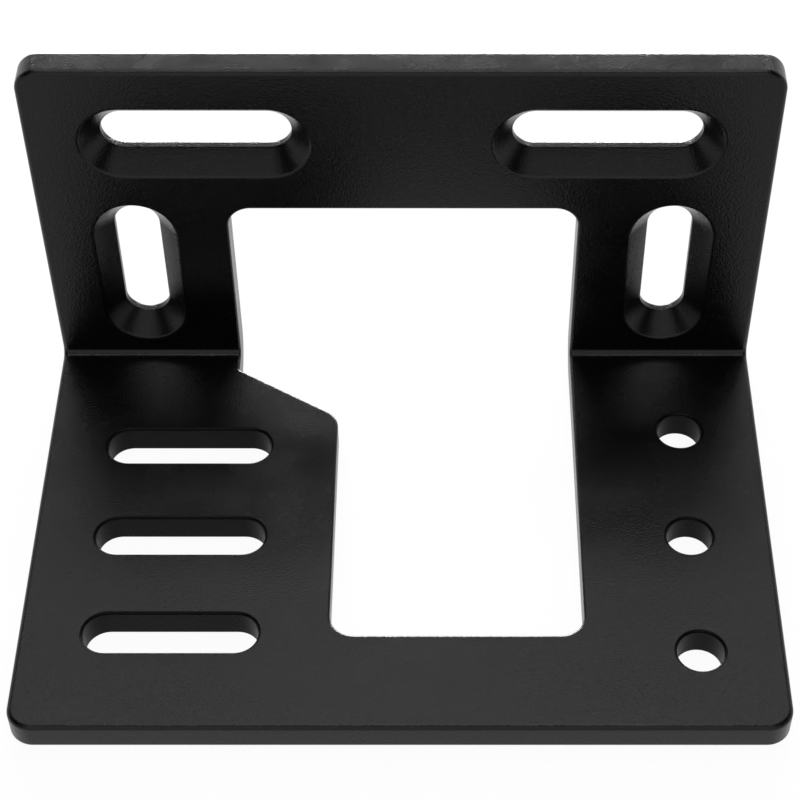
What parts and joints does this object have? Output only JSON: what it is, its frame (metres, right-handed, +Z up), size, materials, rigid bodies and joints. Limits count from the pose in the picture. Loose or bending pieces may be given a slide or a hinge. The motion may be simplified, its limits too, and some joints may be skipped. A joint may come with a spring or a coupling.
{
  "type": "l-bracket",
  "caption": "Wide L-shaped plate bracket with a window through the bend, countersunk slots in the upright, and plain slots and round holes in the base leg.",
  "frame": {"origin": "on the underside of the base leg, midway across the width and midway between the front edge and the upright's back face", "axes": "+X across the width, to the side with the round holes; +Y from the front edge to the upright; +Z up along the upright"},
  "size_m": [0.145, 0.1014, 0.0812],
  "materials": {
    "coating": "matt black powder coat with a fine texture"
  },
  "bodies": {
    "root": {"bracket": "coating"}
  },
  "joints": []
}
